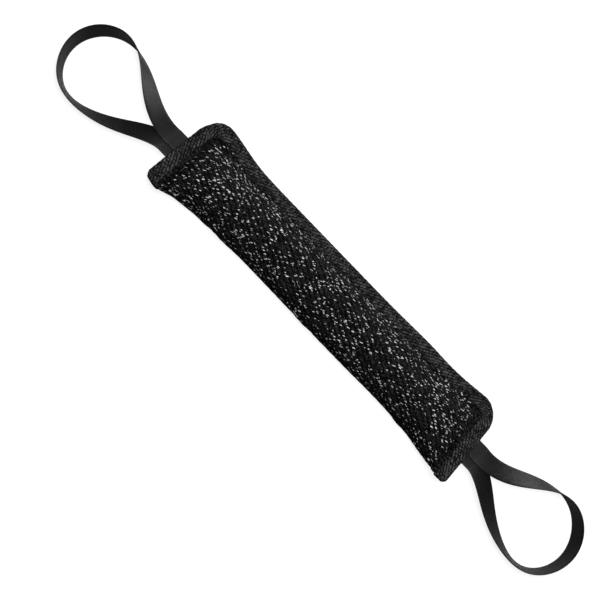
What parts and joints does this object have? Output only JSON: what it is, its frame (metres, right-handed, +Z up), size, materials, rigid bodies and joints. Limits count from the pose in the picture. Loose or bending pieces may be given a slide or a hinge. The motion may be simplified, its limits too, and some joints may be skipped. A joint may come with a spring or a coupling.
{
  "type": "training bumper",
  "caption": "Long stuffed cloth training bumper with a bound edge and a webbing loop handle sewn into each end.",
  "frame": {"origin": "on the floor under the middle of the body, at the middle of its flat cover's width", "axes": "+X along the body to the right handle, +Y to the bound long edge, +Z up"},
  "size_m": [0.6897, 0.1004, 0.044],
  "materials": {
    "cover_cloth": "coarse black twill with white flecks",
    "fibre_fill": "loose fibre",
    "binding_tape": "plain black twill tape",
    "webbing": "flat woven webbing",
    "thread": "bonded sewing thread"
  },
  "bodies": {
    "pad": {"cover": "cover_cloth", "stuffing": "fibre_fill", "edge_binding": "binding_tape", "binding_needle_thread": "thread", "binding_bobbin_thread": "thread", "left_handle_tails": "webbing", "left_handle_tack": "thread", "right_handle_tails": "webbing", "right_handle_tack": "thread"},
    "left_handle": {"left_handle_loop": "webbing"},
    "right_handle": {"right_handle_loop": "webbing"}
  },
  "joints": [
    {"name": "left_handle_flap", "type": "hinge", "parent": "pad", "child": "left_handle", "pos_m": [-0.205, 0, 0.021], "axis": [0, 1, 0], "range_deg": [-110, 110]},
    {"name": "right_handle_flap", "type": "hinge", "parent": "pad", "child": "right_handle", "pos_m": [0.205, 0, 0.021], "axis": [0, -1, 0], "range_deg": [-110, 110]}
  ]
}
